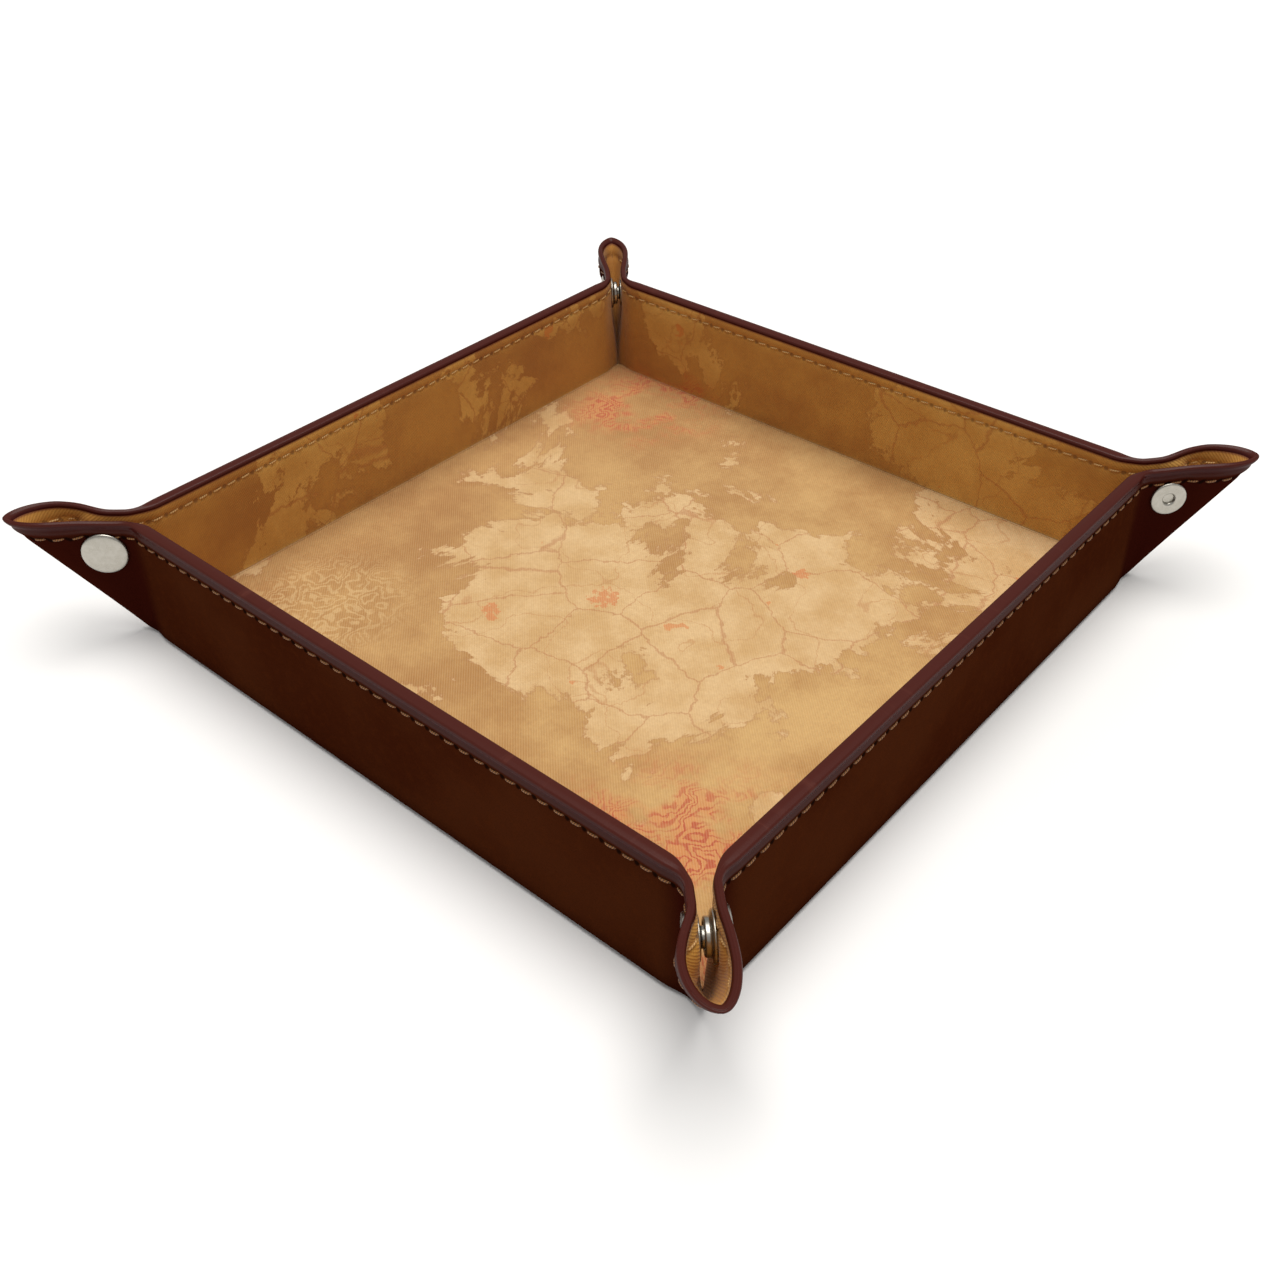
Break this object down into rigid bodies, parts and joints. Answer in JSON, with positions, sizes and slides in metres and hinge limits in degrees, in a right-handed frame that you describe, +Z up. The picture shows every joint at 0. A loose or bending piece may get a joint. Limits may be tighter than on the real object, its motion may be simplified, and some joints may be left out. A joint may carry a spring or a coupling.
{
  "type": "snap-up dice tray",
  "caption": "Square leather dice tray with a printed cloth lining; pinched corner ears with press snaps hold the walls up and unsnap to let it lie open.",
  "frame": {"origin": "centre of the underside, on the table", "axes": "+Z up out of the tray, -Y towards the front wall, +X towards the right wall"},
  "size_m": [0.2508, 0.2508, 0.0392],
  "materials": {
    "leather_cover": "smooth dark brown coated leather, semi-gloss, redder on the rim",
    "stiffener_board": "grey bookbinding board, hidden between leather and lining",
    "map_lining": null,
    "snap_nickel": "satin nickel plate"
  },
  "bodies": {
    "base": {"base_cover": "leather_cover", "base_board": "stiffener_board", "base_lining": "map_lining"},
    "front_wall": {"front_wall_cover": "leather_cover", "front_wall_board": "stiffener_board", "front_wall_lining": "map_lining"},
    "front_left_ear": {"front_left_ear_cover": "leather_cover", "front_left_ear_lining": "map_lining", "front_left_ear_snap_cap": "snap_nickel", "front_left_ear_snap_socket": "snap_nickel"},
    "front_right_ear": {"front_right_ear_cover": "leather_cover", "front_right_ear_lining": "map_lining", "front_right_ear_snap_post": "snap_nickel", "front_right_ear_snap_stud": "snap_nickel"},
    "right_wall": {"right_wall_cover": "leather_cover", "right_wall_board": "stiffener_board", "right_wall_lining": "map_lining"},
    "right_left_ear": {"right_left_ear_cover": "leather_cover", "right_left_ear_lining": "map_lining", "right_left_ear_snap_cap": "snap_nickel", "right_left_ear_snap_socket": "snap_nickel"},
    "right_right_ear": {"right_right_ear_cover": "leather_cover", "right_right_ear_lining": "map_lining", "right_right_ear_snap_post": "snap_nickel", "right_right_ear_snap_stud": "snap_nickel"},
    "back_wall": {"back_wall_cover": "leather_cover", "back_wall_board": "stiffener_board", "back_wall_lining": "map_lining"},
    "back_left_ear": {"back_left_ear_cover": "leather_cover", "back_left_ear_lining": "map_lining", "back_left_ear_snap_cap": "snap_nickel", "back_left_ear_snap_socket": "snap_nickel"},
    "back_right_ear": {"back_right_ear_cover": "leather_cover", "back_right_ear_lining": "map_lining", "back_right_ear_snap_post": "snap_nickel", "back_right_ear_snap_stud": "snap_nickel"},
    "left_wall": {"left_wall_cover": "leather_cover", "left_wall_board": "stiffener_board", "left_wall_lining": "map_lining"},
    "left_left_ear": {"left_left_ear_cover": "leather_cover", "left_left_ear_lining": "map_lining", "left_left_ear_snap_cap": "snap_nickel", "left_left_ear_snap_socket": "snap_nickel"},
    "left_right_ear": {"left_right_ear_cover": "leather_cover", "left_right_ear_lining": "map_lining", "left_right_ear_snap_post": "snap_nickel", "left_right_ear_snap_stud": "snap_nickel"}
  },
  "joints": [
    {"name": "front_wall_fold", "type": "hinge", "parent": "base", "child": "front_wall", "pos_m": [0, -0.10185, 0.00185], "axis": [1, 0, 0], "range_deg": [0, 84]},
    {"name": "front_left_ear_fold", "type": "hinge", "parent": "front_wall", "child": "front_left_ear", "pos_m": [-0.0977, -0.10185, 0.00185], "axis": [0.0519, -0.1254, -0.9908], "range_deg": [0, 45.38]},
    {"name": "front_right_ear_fold", "type": "hinge", "parent": "front_wall", "child": "front_right_ear", "pos_m": [0.0977, -0.10185, 0.00185], "axis": [0.0519, 0.1254, 0.9908], "range_deg": [0, 45.38]},
    {"name": "right_wall_fold", "type": "hinge", "parent": "base", "child": "right_wall", "pos_m": [0.10185, 0, 0.00185], "axis": [0, 1, 0], "range_deg": [0, 84]},
    {"name": "right_left_ear_fold", "type": "hinge", "parent": "right_wall", "child": "right_left_ear", "pos_m": [0.10185, -0.0977, 0.00185], "axis": [0.1254, 0.0519, -0.9908], "range_deg": [0, 45.38]},
    {"name": "right_right_ear_fold", "type": "hinge", "parent": "right_wall", "child": "right_right_ear", "pos_m": [0.10185, 0.0977, 0.00185], "axis": [-0.1254, 0.0519, 0.9908], "range_deg": [0, 45.38]},
    {"name": "back_wall_fold", "type": "hinge", "parent": "base", "child": "back_wall", "pos_m": [0, 0.10185, 0.00185], "axis": [-1, 0, 0], "range_deg": [0, 84]},
    {"name": "back_left_ear_fold", "type": "hinge", "parent": "back_wall", "child": "back_left_ear", "pos_m": [0.0977, 0.10185, 0.00185], "axis": [-0.0519, 0.1254, -0.9908], "range_deg": [0, 45.38]},
    {"name": "back_right_ear_fold", "type": "hinge", "parent": "back_wall", "child": "back_right_ear", "pos_m": [-0.0977, 0.10185, 0.00185], "axis": [-0.0519, -0.1254, 0.9908], "range_deg": [0, 45.38]},
    {"name": "left_wall_fold", "type": "hinge", "parent": "base", "child": "left_wall", "pos_m": [-0.10185, 0, 0.00185], "axis": [0, -1, 0], "range_deg": [0, 84]},
    {"name": "left_left_ear_fold", "type": "hinge", "parent": "left_wall", "child": "left_left_ear", "pos_m": [-0.10185, 0.0977, 0.00185], "axis": [-0.1254, -0.0519, -0.9908], "range_deg": [0, 45.38]},
    {"name": "left_right_ear_fold", "type": "hinge", "parent": "left_wall", "child": "left_right_ear", "pos_m": [-0.10185, -0.0977, 0.00185], "axis": [0.1254, -0.0519, 0.9908], "range_deg": [0, 45.38]}
  ],
  "couplings": [
    {"joint": "front_left_ear_fold", "follows": "front_wall_fold", "ratio": 0.54021},
    {"joint": "front_right_ear_fold", "follows": "front_wall_fold", "ratio": 0.54021},
    {"joint": "right_wall_fold", "follows": "front_wall_fold", "ratio": 1},
    {"joint": "right_left_ear_fold", "follows": "front_wall_fold", "ratio": 0.54021},
    {"joint": "right_right_ear_fold", "follows": "front_wall_fold", "ratio": 0.54021},
    {"joint": "back_wall_fold", "follows": "front_wall_fold", "ratio": 1},
    {"joint": "back_left_ear_fold", "follows": "front_wall_fold", "ratio": 0.54021},
    {"joint": "back_right_ear_fold", "follows": "front_wall_fold", "ratio": 0.54021},
    {"joint": "left_wall_fold", "follows": "front_wall_fold", "ratio": 1},
    {"joint": "left_left_ear_fold", "follows": "front_wall_fold", "ratio": 0.54021},
    {"joint": "left_right_ear_fold", "follows": "front_wall_fold", "ratio": 0.54021}
  ]
}
